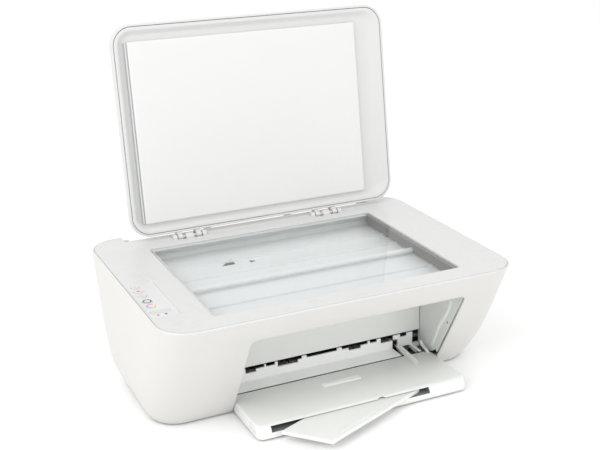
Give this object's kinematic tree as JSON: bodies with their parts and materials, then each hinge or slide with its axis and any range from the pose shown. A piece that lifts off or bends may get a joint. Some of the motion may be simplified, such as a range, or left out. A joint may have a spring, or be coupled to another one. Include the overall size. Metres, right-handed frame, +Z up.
{
  "type": "inkjet printer",
  "caption": "Compact all-in-one inkjet printer with a flatbed scanner lid, fold-down output tray, swing-out extender, carriage door and rear paper support.",
  "frame": {"origin": "under the middle of the open printer, on the table that its feet stand on", "axes": "+X to the right seen from the front, +Y to the back, +Z up"},
  "size_m": [0.4304, 0.3674, 0.4047],
  "materials": {
    "casing": "satin",
    "cover": "satin",
    "glass": "polished",
    "bay": "satin",
    "tray": "satin",
    "foam": "matte",
    "label": "gloss",
    "window": "gloss",
    "lights": "gloss",
    "button": "satin",
    "black": "matte",
    "grey": "matte",
    "latch": "satin",
    "steel": "brushed",
    "rubber": "matte",
    "belt": "matte",
    "board": "satin",
    "felt": "matte"
  },
  "bodies": {
    "chassis": {"outer_casing": "casing", "base_pan": "bay", "feet": "rubber", "top_cover": "cover", "scanner_glass": "glass", "scanner_tub": "bay", "panel_label": "label", "display_window": "window", "status_lights": "lights", "hinge_sockets": "cover", "scan_rod": "steel", "bay_walls": "bay", "bay_ceiling": "bay", "exit_frame": "tray", "platen": "black", "engine_frame": "grey", "carriage_rod": "steel", "carriage_belt": "belt", "carriage_motor": "steel", "service_station": "grey", "feed_motor": "steel", "circuit_board": "board", "ink_absorber": "felt", "paper_chute": "bay", "port_block": "bay", "case_screws": "steel"},
    "lid": {"lid_shell": "cover", "lid_liner": "cover", "foam_pad": "foam", "lid_hinge_arms": "cover"},
    "tray": {"output_tray": "tray", "tray_floor": "tray", "tray_arms": "bay", "tray_pins": "steel", "tray_stay": "steel"},
    "extender_cam": {"extender_hub": "bay"},
    "extender": {"extender": "tray"},
    "door": {"access_door": "tray"},
    "rear_tray": {"rear_tray": "casing"},
    "width_guide": {"width_guide": "latch"},
    "scan_head": {"scan_head": "black"},
    "carriage": {"carriage": "black", "black_cartridge": "black", "colour_cartridge": "grey"},
    "black_latch": {"black_latch": "latch"},
    "colour_latch": {"colour_latch": "latch"},
    "feed_shaft": {"feed_shaft": "steel", "feed_rollers": "rubber"},
    "exit_shaft": {"exit_shaft": "grey", "exit_rollers": "rubber"},
    "pick_roller": {"pick_roller": "steel", "pick_tyres": "rubber"},
    "drive_pulley": {"drive_pulley": "steel"},
    "idler_pulley": {"idler_pulley": "steel"},
    "power_button": {"power_button": "button"},
    "cancel_button": {"cancel_button": "button"},
    "resume_button": {"resume_button": "button"},
    "black_copy_button": {"black_copy_button": "button"},
    "colour_copy_button": {"colour_copy_button": "button"}
  },
  "joints": [
    {"name": "lid_hinge", "type": "hinge", "parent": "chassis", "child": "lid", "pos_m": [0, 0.132, 0.146], "axis": [1, 0, 0], "range_deg": [0, 98.6]},
    {"name": "tray_hinge", "type": "hinge", "parent": "chassis", "child": "tray", "pos_m": [0, -0.033, 0.0496], "axis": [1, 0, 0], "range_deg": [-61.4, 0]},
    {"name": "extender_stow", "type": "hinge", "parent": "tray", "child": "extender_cam", "pos_m": [0.071, -0.1174, 0.012], "axis": [0, 0, 1], "range_deg": [-22.5, 0]},
    {"name": "extender_swing", "type": "hinge", "parent": "extender_cam", "child": "extender", "pos_m": [0.071, -0.1174, 0.012], "axis": [0, 0, 1], "range_deg": [0, 57.5]},
    {"name": "door_hinge", "type": "hinge", "parent": "chassis", "child": "door", "pos_m": [0, -0.0223, 0.034], "axis": [1, 0, 0], "range_deg": [0, 82]},
    {"name": "rear_tray_hinge", "type": "hinge", "parent": "chassis", "child": "rear_tray", "pos_m": [0, 0.15972, 0.1403], "axis": [1, 0, 0], "range_deg": [0, 180]},
    {"name": "width_guide_slide", "type": "slide", "parent": "chassis", "child": "width_guide", "axis": [1, 0, 0], "range_m": [0, 0.11]},
    {"name": "scan_head_slide", "type": "slide", "parent": "chassis", "child": "scan_head", "axis": [-1, 0, 0], "range_m": [0, 0.3]},
    {"name": "carriage_slide", "type": "slide", "parent": "chassis", "child": "carriage", "axis": [-1, 0, 0], "range_m": [0, 0.29]},
    {"name": "drive_pulley_spin", "type": "hinge", "parent": "chassis", "child": "drive_pulley", "pos_m": [-0.171, 0.0316, 0.098], "axis": [0, 0, 1], "range_deg": [0, 2780]},
    {"name": "idler_pulley_spin", "type": "hinge", "parent": "chassis", "child": "idler_pulley", "pos_m": [0.1805, 0.0316, 0.098], "axis": [0, 0, 1], "range_deg": [0, 2780]},
    {"name": "black_latch_hinge", "type": "hinge", "parent": "carriage", "child": "black_latch", "pos_m": [0, 0.0166, 0.096], "axis": [-1, 0, 0], "range_deg": [0, 60]},
    {"name": "colour_latch_hinge", "type": "hinge", "parent": "carriage", "child": "colour_latch", "pos_m": [0, 0.0166, 0.096], "axis": [-1, 0, 0], "range_deg": [0, 60]},
    {"name": "feed_spin", "type": "hinge", "parent": "chassis", "child": "feed_shaft", "pos_m": [0, 0.0336, 0.021], "axis": [1, 0, 0], "continuous": true},
    {"name": "exit_spin", "type": "hinge", "parent": "chassis", "child": "exit_shaft", "pos_m": [0, -0.0149, 0.0224], "axis": [1, 0, 0], "continuous": true},
    {"name": "pick_spin", "type": "hinge", "parent": "chassis", "child": "pick_roller", "pos_m": [0, 0.08908, 0.078], "axis": [1, 0, 0], "continuous": true},
    {"name": "power_press", "type": "slide", "parent": "chassis", "child": "power_button", "axis": [0, 0, -1], "range_m": [0, 0.0006], "stiffness_N_per_m": 600},
    {"name": "cancel_press", "type": "slide", "parent": "chassis", "child": "cancel_button", "axis": [0, 0, -1], "range_m": [0, 0.0006], "stiffness_N_per_m": 600},
    {"name": "resume_press", "type": "slide", "parent": "chassis", "child": "resume_button", "axis": [0, 0, -1], "range_m": [0, 0.0006], "stiffness_N_per_m": 600},
    {"name": "black_copy_press", "type": "slide", "parent": "chassis", "child": "black_copy_button", "axis": [0, 0, -1], "range_m": [0, 0.0006], "stiffness_N_per_m": 600},
    {"name": "colour_copy_press", "type": "slide", "parent": "chassis", "child": "colour_copy_button", "axis": [0, 0, -1], "range_m": [0, 0.0006], "stiffness_N_per_m": 600}
  ],
  "couplings": [
    {"joint": "extender_stow", "follows": "tray_hinge", "ratio": 0.36645},
    {"joint": "drive_pulley_spin", "follows": "carriage_slide", "rad_per_m": 166.67},
    {"joint": "idler_pulley_spin", "follows": "carriage_slide", "rad_per_m": 166.67},
    {"joint": "exit_spin", "follows": "feed_spin", "ratio": 1},
    {"joint": "pick_spin", "follows": "feed_spin", "ratio": 0.357}
  ]
}
